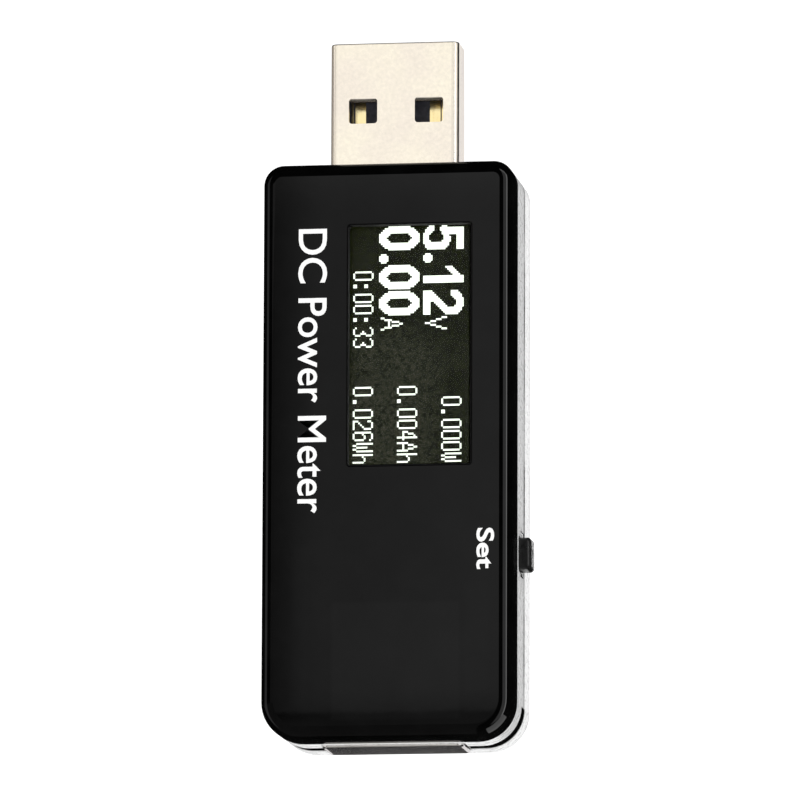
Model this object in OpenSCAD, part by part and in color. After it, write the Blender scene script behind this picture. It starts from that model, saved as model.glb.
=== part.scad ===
// USB power meter: a pass-through plug and port, a small display and one side button.
// Frame: +Z out of the display, +Y toward the plug, +X toward the button.
// The origin is the middle of the rear face, which the meter lies on. All sizes are in millimetres.

/* [Housing] */
// Width across the display
body_w = 23.3; // [23.1:0.1:23.7]
// Length without the plug
body_l = 53.5; // [53.5:0.5:56]
// Thickness from the rear face to the cover's face
body_t = 13; // [13:0.1:13.3]
// Plan radius of the corners at the plug end
plug_end_r = 1.9; // [1.8:0.1:2.2]
// Plan radius of the corners at the port end
port_end_r = 3.6; // [3.4:0.1:3.8]
// Wall thickness of the two white shells
wall = 1.1; // [1:0.05:1.1]
// Depth of the black cover's side
cover_depth = 3.7; // [3.5:0.1:3.8]
// Rounding of the cover's front edge
cover_edge_r = 1.2; // [0.6:0.1:1.2]
// Rounding of the rear edge
rear_edge_r = 1; // [0.4:0.1:1]
// Height of the seam between the white shells
seam_z = 4.9; // [4.8:0.05:5]
// Width of the shadow gap at the seam
seam_gap = 0.15; // [0.1:0.05:0.2]

/* [Window] */
// Size of the display window across the housing
window_w = 11.5; // [11.4:0.1:12]
// Size of the display window along the housing
window_l = 22.5; // [22.3:0.1:23]
// Middle of the window, across and along
window_at = [1.85, 9.85];

/* [Plug and port] */
// Length of plug that stands out of the housing
plug_out = 12; // [11.8:0.05:12.2]
// Outer width and height of the plug's shell
plug_size = [12, 4.5];
// Outer width and height of the port's shell
port_size = [13.1, 5.7];
// How far the port's shell stands out of the housing
port_out = 0.3; // [0.1:0.05:0.4]
// Thickness of the two metal shells
sheet_t = 0.3; // [0.25:0.05:0.3]

/* [Button] */
// Length and height of the button's cap
key_size = [3.15, 2.95];
// How far the cap stands out of the side
key_out = 1.08; // [0.8:0.02:1.2]
ear_l = [0.4, 0.7];                        // key's ears, toward the port and toward the plug
ear_top = 7.1;
// Middle of the cap, along and up
key_at = [-9.25, 7];

/* [Hidden] */
$fn = 48;

eps = 0.01;
half_w = body_w / 2;
half_l = body_l / 2;
cover_z = body_t - cover_depth;            // lower edge of the black cover
cover_wall = 1.2;
lip_inset = [wall + 0.05, wall + 0.6];     // the inner lips, just inside the white walls
slot_z = [3.8, 6.3];                       // slot round the port end
slot_y = -half_l + port_end_r;             // where that slot ends on the long sides
board_z = 8.75;                            // underside of the board
board_t = 1.2;
board_top = board_z + board_t;
plug_z = board_z - plug_size[1] / 2;       // both connectors hang under the board
port_z = board_z - port_size[1] / 2;
plug_tip = half_l + plug_out;
plug_back = 20.5;
port_mouth = -half_l - port_out;
port_back = -13.4;
contact_x = [-3.5, -1, 1, 3.5];
contact_t = 0.25;
boss_at = [[8.7, 22.4], [8.6, -22.4]];
rear_wall = 1.2;
slit = 0.3;                                // slits beside the port's springs
leg_y = [24.4, -18.25];                    // shell legs of the plug and of the port
active_at = [1.53, 9.9];                   // middle of the lit area
glass_x = [-9.6, 9.07];
cap_glass_x = [-5.2, 8.7];
glass_y = [active_at[1] - 13.35, active_at[1] + 13.35];
panel_z = [board_top, board_top + 0.15, board_top + 0.7, board_top + 1.2, board_top + 1.35];
pane_z = body_t - cover_wall;              // underside of the window pane
switch_x = [5.9, 8.6];
switch_half_l = 3;
switch_z = 5.25;
plunger_tip = half_w - wall - 0.7 - 0.03;  // just short of the button's flange
key_flange = [half_w - wall - 0.7, half_w - wall - 0.1];

// Plan of the housing, moved in by inset: tight corners at the plug end, rounder ones at the port end
module plan(inset = 0) {
    x = half_w - inset;
    y = half_l - inset;
    a = max(plug_end_r - inset, 0.5);
    b = max(port_end_r - inset, 0.5);
    translate([-x, b - y]) square([2 * x, 2 * y - a - b]);
    translate([a - x, 0]) square([2 * (x - a), y]);
    translate([b - x, -y]) square([2 * (x - b), y]);
    for (s = [-1, 1]) {
        translate([s * (x - a), y - a]) circle(a);
        translate([s * (x - b), b - y]) circle(b);
    }
}

// Upright ring between two insets of the plan
module ring(z, outer, inner) {
    translate([0, 0, z[0]]) linear_extrude(z[1] - z[0]) difference() {
        plan(outer);
        plan(inner);
    }
}

// Rectangle with round corners about the origin
module round_rect(size, r) {
    square([size[0] - 2 * r, size[1]], center = true);
    square([size[0], size[1] - 2 * r], center = true);
    for (sx = [-1, 1], sy = [-1, 1])
        translate([sx * (size[0] / 2 - r), sy * (size[1] / 2 - r)]) circle(r);
}

// Extrudes an X-Z outline along Y, and a Y-Z outline along X
module along_y(y) {
    translate([0, y[1], 0]) rotate([90, 0, 0]) linear_extrude(y[1] - y[0]) children();
}
module along_x(x) {
    translate([x[0], 0, 0]) rotate([90, 0, 90]) linear_extrude(x[1] - x[0]) children();
}

// Box from its x, y and z spans
module span(x, y, z) {
    translate([x[0], y[0], z[0]]) cube([x[1] - x[0], y[1] - y[0], z[1] - z[0]]);
}

// Box of size [x, y, z] hanging under the board with its middle at [x, y]
module under_board(at, size) {
    span([at[0] - size[0] / 2, at[0] + size[0] / 2],
         [at[1] - size[1] / 2, at[1] + size[1] / 2],
         [board_z - size[2], board_z]);
}

// Holes in the end walls for the plug and the port
module plug_gap(clear = 0.1) {
    x = plug_size[0] / 2 + clear;
    h = plug_size[1] / 2 + clear;
    span([-x, x], [half_l - 3, half_l + 1], [plug_z - h, plug_z + h]);
}
module port_gap(clear = 0.1) {
    x = port_size[0] / 2 + clear;
    h = port_size[1] / 2 + clear;
    span([-x, x], [-half_l - 1, -half_l + 3], [port_z - h, port_z + h]);
}

// Block that takes in the port end as far as the slot reaches
module port_end(z, margin = 0) {
    span([-half_w - 1, half_w + 1], [-half_l - 1, slot_y + margin], z);
}

// ---- housing ----

// Solid plan of height h whose edge at z = 0 is rounded to r
module rounded_slab(h, r) {
    intersection() {
        linear_extrude(h) plan();
        // rounding along the long sides, then along the two ends
        translate([0, half_l + 1, 0]) rotate([90, 0, 0])
            linear_extrude(body_l + 2) round_foot(half_w, h, r);
        translate([-half_w - 1, 0, 0]) rotate([90, 0, 90])
            linear_extrude(body_w + 2) round_foot(half_l, h, r);
    }
}

// Section of half width w and height h + 1 with its two lower corners rounded to r
module round_foot(w, h, r) {
    translate([-w, r]) square([2 * w, h + 1 - r]);
    translate([r - w, 0]) square([2 * (w - r), h + 1]);
    for (s = [-1, 1]) translate([s * (w - r), r]) circle(r);
}

module front_cover() color([0.07, 0.07, 0.075]) {
    difference() {
        translate([0, 0, body_t]) mirror([0, 0, 1]) rounded_slab(cover_depth, cover_edge_r);
        translate([0, 0, cover_z - 1]) linear_extrude(pane_z - cover_z + 1) plan(cover_wall);
        translate([window_at[0], window_at[1], pane_z - 1])
            linear_extrude(body_t) round_rect([window_w, window_l], 0.3);
    }
    // lip inside the white ring
    difference() {
        ring([cover_z - 0.7, cover_z + 0.5], lip_inset[0], lip_inset[1]);
        plug_gap();
        port_end([0, body_t], 0.4);
    }
    // skirt inside the port end, with a rib that fills the slot nearly flush
    difference() {
        union() {
            intersection() {
                ring([slot_z[0] - 0.5, cover_z + 0.5], lip_inset[0], lip_inset[1]);
                port_end([0, body_t], 0.4);
            }
            intersection() {
                ring([slot_z[0] + 0.03, slot_z[1] - 0.03], 0.05, lip_inset[0] + 0.2);
                port_end([0, body_t], -0.03);
            }
        }
        port_gap();
    }
}

module display_window() color([0.75, 0.8, 0.78, 0.3])
    translate([window_at[0], window_at[1], pane_z])
        linear_extrude(cover_wall - 0.03) round_rect([window_w - 0.06, window_l - 0.06], 0.27);

module upper_housing() color([0.93, 0.93, 0.92]) difference() {
    ring([seam_z + seam_gap / 2, cover_z], 0, wall);
    plug_gap();
    port_gap();
    port_end([0, slot_z[1]]);
    // opening for the cap, and the notches beside it for the key's ears
    translate([half_w - wall - 1, key_at[0] - key_size[0] / 2 - 0.12, 0])
        cube([3, key_size[0] + 0.24, key_at[1] + key_size[1] / 2 + 0.12]);
    span([half_w - wall - 1, half_w + 1],
        [key_at[0] - key_size[0] / 2 - ear_l[0] - 0.07, key_at[0] + key_size[0] / 2 + ear_l[1] + 0.07],
        [0, ear_top + 0.08]);
}

module lower_housing() color([0.93, 0.93, 0.92]) {
    rim = seam_z - seam_gap / 2;
    difference() {
        rounded_slab(rim, rear_edge_r);
        translate([0, 0, rear_wall]) linear_extrude(body_t) plan(wall);
        plug_gap();
        port_gap();
        port_end([slot_z[0], body_t]);
    }
    // lip that stands up inside the upper shell
    difference() {
        union() {
            ring([rim - 1, rim - 0.1], wall - 0.1, lip_inset[1] - 0.05);
            ring([rim - 0.2, rim + 0.9], lip_inset[0], lip_inset[1] - 0.05);
        }
        port_end([0, body_t], 0.6);
        span([-plug_size[0] / 2 - 0.3, plug_size[0] / 2 + 0.3], [half_l - 3, half_l], [0, body_t]);
        span([0, half_w], [key_at[0] - 3.2, key_at[0] + 3.2], [0, body_t]);
    }
    // bosses that carry the board, with pins through it
    for (p = boss_at, s = [-1, 1]) {
        translate([s * p[0], p[1], rear_wall - 0.2]) cylinder(h = board_z - rear_wall + 0.2, r = 1.25);
        translate([s * p[0], p[1], board_z - eps]) cylinder(h = board_t - 0.2, r = 0.6);
    }
    // ribs under the plug and the port
    for (x = [-4, 0, 4]) {
        span([x - 0.5, x + 0.5], [21, half_l - wall], [rear_wall - 0.2, plug_z - plug_size[1] / 2]);
        span([x - 0.5, x + 0.5], [-24.8, -15], [rear_wall - 0.2, port_z - port_size[1] / 2]);
    }
}

module key_button() color([0.06, 0.06, 0.06]) {
    translate([0, key_at[0], key_at[1]]) along_x([key_flange[1] - 0.1, half_w + key_out])
        round_rect(key_size, 0.45);
    span(key_flange, [key_at[0] - 2.9, key_at[0] + 2.9], [4.8, 8.3]);
    // ears beside the cap, nearly flush with the wall
    span([key_flange[1] - 0.1, half_w - 0.05],
        [key_at[0] - key_size[0] / 2 - ear_l[0], key_at[0] + key_size[0] / 2 + ear_l[1]],
        [seam_z + 0.02, ear_top]);
}

// ---- plug ----

module plug_shell() color([0.85, 0.82, 0.75]) difference() {
    union() {
        translate([0, 0, plug_z]) along_y([plug_back, plug_tip]) difference() {
            round_rect(plug_size, 0.5);
            round_rect([plug_size[0] - 2 * sheet_t, plug_size[1] - 2 * sheet_t], 0.2);
        }
        for (s = [-1, 1]) {
            x = s * (plug_size[0] - sheet_t) / 2;
            span([x - sheet_t / 2, x + sheet_t / 2], [leg_y[0] - 0.5, leg_y[0] + 0.5],
                 [plug_z + 1, board_top + 0.5]);
        }
    }
    // latch windows in both broad faces
    for (x = [-3.09, 3.09], z = [-1, 1])
        translate([x, plug_tip - 6.38, plug_z + z * plug_size[1] / 2])
            cube([2.65, 2.4, 1.2], center = true);
}

plug_strip_z = [plug_z - 0.3, plug_z - 0.3 + contact_t];

module plug_insulator() color([0.05, 0.05, 0.05]) difference() {
    union() {
        translate([0, 0, plug_z]) along_y([plug_back - 0.2, 27.2])
            square([plug_size[0] - 2 * sheet_t - 0.44, plug_size[1] - 2 * sheet_t - 0.04], center = true);
        span([-5.4, 5.4], [27, plug_tip - 0.55],
            [plug_z - plug_size[1] / 2 + sheet_t + 0.02, plug_z - 0.1]);
    }
    for (x = contact_x)
        span([x - 0.5, x + 0.5], [0, plug_tip - 1.2], plug_strip_z);
}

// Flat strip along the tongue, then a leg up to the board and a foot soldered under it
module plug_contacts() color([0.85, 0.65, 0.25]) for (x = contact_x) {
    tip = plug_tip - 1.2;
    leg = plug_back - 1.75;
    along_x([x - 0.5, x + 0.5]) polygon([
        [leg, plug_strip_z[0]], [tip, plug_strip_z[0]], [tip, plug_strip_z[1]],
        [leg + contact_t, plug_strip_z[1]], [leg + contact_t, board_z],
        [leg - 1.15, board_z], [leg - 1.15, board_z - contact_t], [leg, board_z - contact_t]]);
}

// ---- port ----

module receptacle_shell() color([0.8, 0.8, 0.8]) difference() {
    union() {
        translate([0, 0, port_z]) along_y([port_mouth, port_back]) difference() {
            round_rect(port_size, 0.6);
            round_rect([port_size[0] - 2 * sheet_t, port_size[1] - 2 * sheet_t], 0.3);
        }
        for (s = [-1, 1]) {
            x = s * (port_size[0] - sheet_t) / 2;
            span([x - sheet_t / 2, x + sheet_t / 2], [leg_y[1] - 0.7, leg_y[1] + 0.7],
                 [port_z + 1, board_top + 0.5]);
        }
    }
    // slits that free two springs in each broad face
    for (x = [-3.2, 3.2], z = [-1, 1], s = [-1, 1]) {
        translate([x + s * 1.1, -22, port_z + z * port_size[1] / 2])
            cube([slit, 5.5, 1], center = true);
        translate([x, -24.6, port_z + z * port_size[1] / 2]) cube([2.2 + slit, slit, 1], center = true);
    }
}

port_strip_z = [port_z - 0.1, port_z - 0.1 + contact_t];

module receptacle_insulator() color([0.05, 0.05, 0.05]) difference() {
    union() {
        span([-6, 6], [-15.6, port_back + 0.1], [port_z - 2.5, port_z + 2.5]);
        span([-5.5, 5.5], [port_mouth + 1.6, -15.5], [port_z + 0.07, port_z + 1.9]);
    }
    for (x = contact_x)
        span([x - 0.5, x + 0.5], [port_mouth + 2.1, 0], [port_z - 0.1, port_strip_z[1]]);
}

module receptacle_contacts() color([0.85, 0.65, 0.25]) for (x = contact_x) {
    back = port_back + 0.5;
    span([x - 0.5, x + 0.5], [port_mouth + 2.1, back], port_strip_z);
    span([x - 0.3, x + 0.3], [back - contact_t, back], [port_strip_z[0], board_top + 0.6]);
}

// ---- board ----

module tail_holes() for (x = contact_x) translate([x, port_back + 0.375, board_z - 1])
    cylinder(h = board_t + 2, r = 0.45);

module main_board() color([0.05, 0.25, 0.12]) difference() {
    translate([0, 0, board_z]) linear_extrude(board_t) plan(wall + 0.7);
    for (p = boss_at, s = [-1, 1])
        translate([s * p[0], p[1], board_z - 1]) cylinder(h = board_t + 2, r = 0.68);
    tail_holes();
    for (s = [-1, 1]) {
        translate([s * (plug_size[0] - sheet_t) / 2, leg_y[0] + 0.5, board_z])
            cube([sheet_t + 0.2, 2.4, 4], center = true);
        translate([s * (port_size[0] - sheet_t) / 2, leg_y[1], board_z])
            cube([sheet_t + 0.2, 1.7, 4], center = true);
    }
}

module solder_joints() color([0.75, 0.76, 0.78]) {
    difference() {
        for (x = contact_x) translate([x, port_back + 0.375, board_top])
            cylinder(h = 0.45, r1 = 0.8, r2 = 0.4);
        for (x = contact_x) span([x - 0.3, x + 0.3], [port_back + 0.25, port_back + 0.5], [board_z, 12]);
    }
    difference() {
        for (s = [-1, 1]) translate([s * (port_size[0] - sheet_t) / 2, leg_y[1], board_top])
            cylinder(h = 0.4, r1 = 1.15, r2 = 0.8);
        for (s = [-1, 1]) translate([s * (port_size[0] - sheet_t) / 2, leg_y[1], board_top])
            cube([sheet_t, 1.4, 3], center = true);
    }
}

// ---- display ----

module oled_adhesive_pad() color([0.85, 0.85, 0.8])
    span([cap_glass_x[0] + 2, cap_glass_x[1] - 2], [glass_y[0] + 4, glass_y[1] - 4],
        [panel_z[0], panel_z[1]]);

module oled_rear_glass() color([0.15, 0.16, 0.15])
    span(cap_glass_x, [glass_y[0] + 0.5, glass_y[1] - 0.5], [panel_z[1], panel_z[2]]);

module oled_front_glass() color([0.25, 0.28, 0.25])
    span(glass_x, glass_y, [panel_z[2], panel_z[3]]);

module oled_polarizer() color([0.12, 0.14, 0.1])
    span([cap_glass_x[0], cap_glass_x[1]], [glass_y[0] + 0.8, glass_y[1] - 0.8], [panel_z[3], panel_z[4]]);

module oled_driver_chip() color([0.2, 0.2, 0.22])
    span([-7.9, -6.7], [active_at[1] - 5.5, active_at[1] + 5.5], [panel_z[2] - 0.3, panel_z[2]]);

// Film that is bonded under the glass ledge and folds back onto the board
module oled_flex() color([0.8, 0.5, 0.15]) {
    bend_x = -9.75;
    film = 0.1;
    bend_r = (panel_z[2] - board_top) / 2;
    translate([0, active_at[1] + 6, board_top + bend_r]) rotate([90, 0, 0]) linear_extrude(12) {
        translate([bend_x, bend_r - film]) square([1.2, film]);
        translate([bend_x, -bend_r]) square([3.6, film]);
        translate([bend_x, 0]) intersection() {
            difference() {
                circle(bend_r);
                circle(bend_r - film);
            }
            translate([-2, -1]) square([2, 2]);
        }
    }
}

module display_gasket() color([0.05, 0.05, 0.05])
    translate([window_at[0], window_at[1], panel_z[4]]) linear_extrude(pane_z - panel_z[4]) difference() {
        square([window_w + 2.2, window_l + 1.6], center = true);
        square([window_w - 0.2, window_l - 0.2], center = true);
    }

// ---- circuits under the board ----

// Gull-wing leads along both long sides of a package of width w, n a side at a pitch along Y
module gull_leads(at, w, n, pitch, lead_w) {
    shoulder = 0.55;
    t = 0.15;
    reach = 1;
    for (s = [0, 1], i = [0:n - 1])
        translate([at[0], at[1] + (i - (n - 1) / 2) * pitch + lead_w / 2, board_z]) mirror([s, 0, 0])
            rotate([90, 0, 0]) linear_extrude(lead_w) translate([w / 2, 0]) polygon([
                [0, -shoulder - t], [reach / 2 + t, -shoulder - t], [reach / 2 + t, -t], [reach, -t],
                [reach, 0], [reach / 2, 0], [reach / 2, -shoulder], [0, -shoulder]]);
}

// Package body held off the board by its leads
module package(at, size) translate([0, 0, -0.1]) under_board(at, size);

module microcontroller() color([0.09, 0.09, 0.1]) package([-3.6, 6.5], [4.4, 6.5, 0.95]);
module microcontroller_leads() color("silver") gull_leads([-3.6, 6.5], 4.4, 10, 0.65, 0.25);
module sense_amplifier() color([0.09, 0.09, 0.1]) package([5, 12.6], [3.9, 4.9, 1.4]);
module sense_amplifier_leads() color("silver") gull_leads([5, 12.6], 3.9, 4, 1.27, 0.4);
module voltage_regulator() color([0.09, 0.09, 0.1]) package([6.2, 4.6], [1.6, 2.9, 1.1]);
module voltage_regulator_leads() color("silver") gull_leads([6.2, 4.6], 1.6, 3, 0.95, 0.4);
module memory_chip() color([0.09, 0.09, 0.1]) under_board([-5.4, -1.4], [3, 2, 0.75]);
module crystal() color([0.8, 0.8, 0.78]) under_board([1.8, 3], [2.5, 3.2, 0.75]);
module tantalum_capacitor() color([0.75, 0.55, 0.15]) under_board([0.2, -5.2], [3.5, 2.8, 1.9]);
module protection_diode() color([0.1, 0.1, 0.1]) under_board([-6.6, -7.4], [2.6, 4.3, 2.1]);

shunt_at = [-5.8, 14.6];

module shunt_resistor() color([0.12, 0.12, 0.12]) under_board(shunt_at, [3.2, 5.4, 0.6]);
module shunt_terminals() color("silver") for (s = [-1, 1])
    under_board([shunt_at[0], shunt_at[1] + s * 2.95], [3.2, 0.5, 0.62]);

module chip_capacitors() color([0.7, 0.55, 0.4])
    for (p = [
        [0.6, 9.4], [0.6, 12.4], [-8.8, 8.5], [-8.8, 5], [3.6, 7.6], [-2.4, 0.6], [6.4, 0.6], [-2.9, -5.2]
    ])
        under_board(p, [0.8, 1.6, 0.8]);

module chip_resistors() color([0.12, 0.12, 0.13])
    for (p = [[8.8, 7.4], [8.8, 10.4], [8.8, 13.4], [1.2, 15.4], [-1.4, 13], [-1.4, 16], [-8.8, -1.2],
              [3.6, -2], [3.6, -5]])
        under_board(p, [0.8, 1.6, 0.5]);

// ---- side switch ----

// Places a shape drawn about Z with its axis along X through the middle of the button
module on_key_axis(x) translate([x, key_at[0], key_at[1]]) rotate([0, 90, 0]) children();

module switch_base() color([0.08, 0.08, 0.08]) difference() {
    span(switch_x, [key_at[0] - switch_half_l, key_at[0] + switch_half_l], [switch_z, board_z]);
    on_key_axis(7.5) cylinder(h = 3, r = 1.6);
}

module switch_cover() color([0.8, 0.8, 0.8]) {
    y = [key_at[0] - switch_half_l, key_at[0] + switch_half_l];
    plate_t = 0.2;
    difference() {
        span([switch_x[1], switch_x[1] + plate_t], y, [switch_z, board_z]);
        on_key_axis(switch_x[1] - 1) cylinder(h = 3, r = 0.95);
    }
    // cheeks that clip over the ends of the base
    for (e = [[y[0] - plate_t, y[0]], [y[1], y[1] + plate_t]])
        span([switch_x[0] + 1.2, switch_x[1] + plate_t], e, [switch_z + 0.5, board_z - 0.3]);
}

module switch_terminals() color("silver")
    for (e = [-1, 1]) translate([switch_x[0] + 0.5, key_at[0] + e * (switch_half_l + 0.35), board_z - 0.1])
        cube([0.9, 0.7, 0.2], center = true);

module switch_dome() color([0.8, 0.75, 0.6]) on_key_axis(7.52) difference() {
    cylinder(h = 0.4, r1 = 1.5, r2 = 0.6);
    translate([0, 0, -0.1]) cylinder(h = 0.4, r1 = 1.5, r2 = 0.6);
}

module switch_plunger() color([0.9, 0.9, 0.88]) {
    on_key_axis(7.95) cylinder(h = 0.35, r = 1.3);
    on_key_axis(8.2) cylinder(h = plunger_tip - 8.2, r = 0.85);
}

front_cover();
display_window();
upper_housing();
lower_housing();
key_button();
plug_shell();
plug_insulator();
plug_contacts();
receptacle_shell();
receptacle_insulator();
receptacle_contacts();
main_board();
oled_adhesive_pad();
oled_rear_glass();
oled_front_glass();
oled_polarizer();
oled_driver_chip();
oled_flex();
display_gasket();
microcontroller();
microcontroller_leads();
sense_amplifier();
sense_amplifier_leads();
voltage_regulator();
voltage_regulator_leads();
memory_chip();
crystal();
shunt_resistor();
shunt_terminals();
tantalum_capacitor();
protection_diode();
chip_capacitors();
chip_resistors();
switch_base();
switch_cover();
switch_terminals();
switch_dome();
switch_plunger();
solder_joints();
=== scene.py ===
"""Looks of the USB power meter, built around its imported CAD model.

Lengths are written in millimetres and turned into metres by MM. +Z leaves the display, +Y points to the plug.
"""

import math

import bmesh
import bpy
from mathutils import Matrix, Vector


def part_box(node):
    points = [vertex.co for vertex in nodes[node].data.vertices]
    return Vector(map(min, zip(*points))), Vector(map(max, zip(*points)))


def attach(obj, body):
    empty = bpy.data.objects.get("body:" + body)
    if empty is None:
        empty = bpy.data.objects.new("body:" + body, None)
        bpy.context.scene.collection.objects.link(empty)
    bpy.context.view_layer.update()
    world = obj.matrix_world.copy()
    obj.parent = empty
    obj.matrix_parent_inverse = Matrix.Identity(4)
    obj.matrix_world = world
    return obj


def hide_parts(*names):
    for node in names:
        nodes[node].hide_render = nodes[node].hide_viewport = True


MM = 0.001
scene = bpy.context.scene
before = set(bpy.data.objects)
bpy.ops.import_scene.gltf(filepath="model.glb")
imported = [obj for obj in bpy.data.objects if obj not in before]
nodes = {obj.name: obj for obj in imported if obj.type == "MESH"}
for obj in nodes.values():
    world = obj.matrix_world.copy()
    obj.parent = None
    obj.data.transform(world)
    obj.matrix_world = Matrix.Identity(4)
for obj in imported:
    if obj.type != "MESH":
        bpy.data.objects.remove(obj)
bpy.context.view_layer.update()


def box_mm(node):
    """Lowest and highest corner of a CAD node in millimetres."""
    low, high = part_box(node)
    return low / MM, high / MM


UPPER = box_mm("upper_housing")
COVER = box_mm("front_cover")
PLUG = box_mm("plug_shell")
PORT = box_mm("receptacle_shell")
PANE = box_mm("display_window")
KEY = box_mm("key_button")
POLARIZER = box_mm("oled_polarizer")
PLUG_STRIPS = box_mm("plug_contacts")

HALF_W = UPPER[1].x
HALF_L = UPPER[1].y
PLUG_END_R = 1.9
PORT_END_R = 3.6
WALL = 1.1
COVER_WALL = 1.2
COVER_R = 1.2
REAR_R = 1.0
SEAM_LOW = UPPER[0].z - 0.15
COVER_Z = UPPER[1].z
TOP_Z = COVER[1].z
SLOT_Z = (3.8, 6.3)
SLOT_Y = -HALF_L + PORT_END_R
SHEET_T = 0.3
CONTACT_X = (-3.5, -1.0, 1.0, 3.5)
CONTACT_T = 0.25
BOARD = box_mm("main_board")
PLUG_HALF = (PLUG[1].x, 2.25)
PLUG_Z = BOARD[0].z - PLUG_HALF[1]
PORT_HALF = (PORT[1].x, 2.85)
PORT_Z = BOARD[0].z - PORT_HALF[1]
LATCH_X = (-2.93, 3.24)
LATCH_Y = PLUG[1].y - 6.4
LATCH_HALF = (2.65 / 2, 1.18)
REAR_WALL = 1.2
BOSSES = ((8.7, 22.4), (-8.7, 22.4), (8.6, -22.4), (-8.6, -22.4))
RIBS_X = (-4, 0, 4)
KEY_MID = Vector((0, -9.25, 7.0))
KEY_HALF = (3.0 / 2, 2.95 / 2)
WINDOW_AT = ((PANE[1].x + PANE[0].x) / 2 + 0.25, (PANE[1].y + PANE[0].y) / 2 - 0.2)
EAR_TOP = 7.1
EAR_L = (0.4, 0.7)


# ---- meshes ----


def outline(half_w, half_l, r_far, r_near=None, inset=0.0, steps=10, at=(0.0, 0.0)):
    """Anticlockwise points of a round-cornered rectangle: r_far at the positive end, r_near at the other."""
    x, y = half_w - inset, half_l - inset
    far = max(r_far - inset, 0.04)
    near = max((r_far if r_near is None else r_near) - inset, 0.04)
    points = []
    for sx, sy, r, start in ((1, 1, far, 0), (-1, 1, far, 90), (-1, -1, near, 180), (1, -1, near, 270)):
        for i in range(steps + 1):
            a = math.radians(start + 90 * i / steps)
            across = at[0] + sx * (x - r) + r * math.cos(a)
            along = at[1] + sy * (y - r) + r * math.sin(a)
            points.append((across, along))
    return points


def plan(inset, z, steps=12):
    """Ring of the housing's plan, moved in by inset, at height z."""
    return [(x, y, z) for x, y in outline(HALF_W, HALF_L, PLUG_END_R, PORT_END_R, inset, steps)]


def loft(bm, rings, first=False, last=False, closed=False):
    """Skins a run of rings with the same number of points, and caps or closes it."""
    rows = [[bm.verts.new(Vector(p) * MM) for p in ring] for ring in rings]
    pairs = list(zip(rows, rows[1:]))
    if closed:
        pairs.append((rows[-1], rows[0]))
    for a, b in pairs:
        for i in range(len(a)):
            j = (i + 1) % len(a)
            bm.faces.new((a[i], a[j], b[j], b[i]))
    if first:
        bm.faces.new(list(reversed(rows[0])))
    if last:
        bm.faces.new(rows[-1])
    return bm


def bend(r, steps, start=0, end=90):
    """Quarter-round as pairs of (inset, rise) for a corner of radius r."""
    angles = [math.radians(start + (end - start) * i / steps) for i in range(steps + 1)]
    return [(r * (1 - math.cos(a)), r * math.sin(a)) for a in angles]


def add_box(bm, x, y, z):
    """Adds a box from its spans in millimetres."""
    corners = [(x[i], y[j], z[k]) for k in (0, 1) for j in (0, 1) for i in (0, 1)]
    v = [bm.verts.new(Vector(c) * MM) for c in corners]
    for face in ((0, 2, 3, 1), (4, 5, 7, 6), (0, 1, 5, 4), (2, 6, 7, 3), (0, 4, 6, 2), (1, 3, 7, 5)):
        bm.faces.new([v[i] for i in face])


def add_prism(bm, points, low, high, axis):
    """Adds a closed prism: points lie across the axis, which runs from low to high."""
    place = {
        "x": lambda a, b, t: (t, a, b),
        "y": lambda a, b, t: (a, t, b),
        "z": lambda a, b, t: (a, b, t),
    }[axis]
    rings = [[place(a, b, t) for a, b in points] for t in (low, high)]
    loft(bm, rings, first=True, last=True)


def object_from(bm, name):
    bmesh.ops.recalc_face_normals(bm, faces=bm.faces)
    mesh = bpy.data.meshes.new(name)
    bm.to_mesh(mesh)
    bm.free()
    obj = bpy.data.objects.new(name, mesh)
    scene.collection.objects.link(obj)
    return obj


def bake_modifiers(obj):
    """Replaces the object's mesh by what its modifiers make of it."""
    graph = bpy.context.evaluated_depsgraph_get()
    graph.update()
    made = bpy.data.meshes.new_from_object(obj.evaluated_get(graph))
    obj.modifiers.clear()
    old, obj.data = obj.data, made
    made.name = obj.name
    bpy.data.meshes.remove(old)


def boolean(obj, cutter_bm, operation="DIFFERENCE"):
    """Cuts from obj, or joins to it, everything in cutter_bm."""
    cutter = object_from(cutter_bm, obj.name + "_tool")
    step = obj.modifiers.new("boolean", "BOOLEAN")
    step.operation = operation
    step.solver = "EXACT"
    step.use_self = True
    step.object = cutter
    bake_modifiers(obj)
    bpy.data.objects.remove(cutter)


def join(obj, other, operation="UNION"):
    """Unites obj with another object, or cuts it by it, and drops the other one."""
    bm = bmesh.new()
    bm.from_mesh(other.data)
    bpy.data.objects.remove(other)
    boolean(obj, bm, operation)


def soften(obj, width, segments=2, angle=40):
    """Rounds the sharp edges a little, as moulded and stamped edges are."""
    step = obj.modifiers.new("bevel", "BEVEL")
    step.width = width * MM
    step.segments = segments
    step.limit_method = "ANGLE"
    step.angle_limit = math.radians(angle)
    step.use_clamp_overlap = True
    step.harden_normals = False
    bake_modifiers(obj)


def dress(obj, mat, body, slot, *stands_for, sharp=35):
    """Gives a piece its material, smooth shading and body. The slot is not used."""
    obj.data.materials.clear()
    obj.data.materials.append(mat)
    obj.data.shade_smooth()
    obj.data.set_sharp_from_angle(angle=math.radians(sharp))
    normals = obj.modifiers.new("normals", "WEIGHTED_NORMAL")
    normals.keep_sharp = True
    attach(obj, body)
    if stands_for:
        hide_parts(*stands_for)
    return obj


# ---- materials ----


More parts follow.
